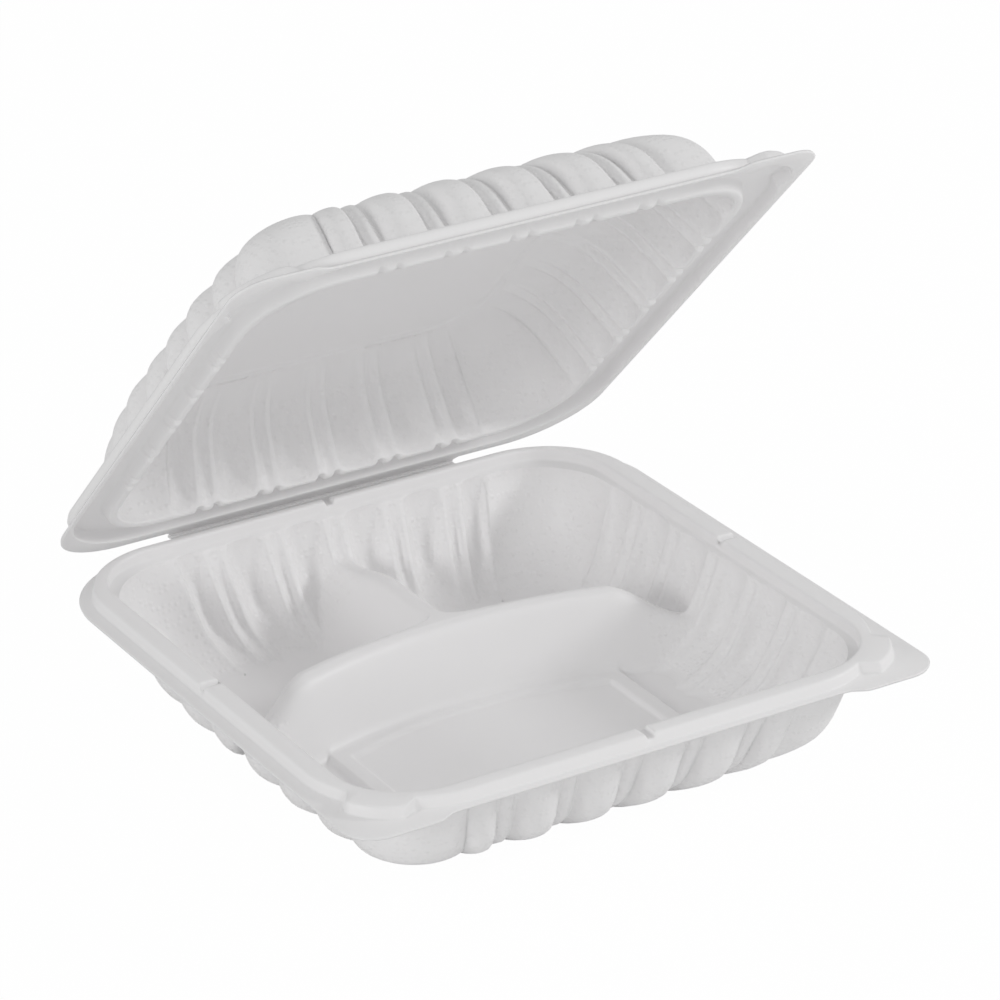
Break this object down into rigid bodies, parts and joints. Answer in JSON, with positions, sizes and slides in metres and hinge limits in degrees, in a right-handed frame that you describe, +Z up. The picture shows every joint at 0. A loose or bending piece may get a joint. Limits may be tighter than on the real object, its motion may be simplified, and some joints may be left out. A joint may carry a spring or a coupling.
{
  "type": "plastic clamshell container",
  "caption": "Hinged plastic clamshell food container with a divided tray, a lobed wall and a domed lid, standing half open.",
  "frame": {"origin": "middle of the whole object's footprint, on the table", "axes": "+Z up, X along the hinge, +Y towards the hinge at the back"},
  "size_m": [0.225, 0.2394, 0.2085],
  "materials": {
    "plastic": "satin white, finely textured on the outer walls"
  },
  "bodies": {
    "base": {"base_tray": "plastic", "living_hinge": "plastic"},
    "lid": {"lid": "plastic"}
  },
  "joints": [
    {"name": "lid_hinge", "type": "hinge", "parent": "base", "child": "lid", "pos_m": [0, 0.11821, 0.04], "axis": [-1, 0, 0], "range_deg": [-44.1, 135.9], "deforming": ["living_hinge"]}
  ]
}
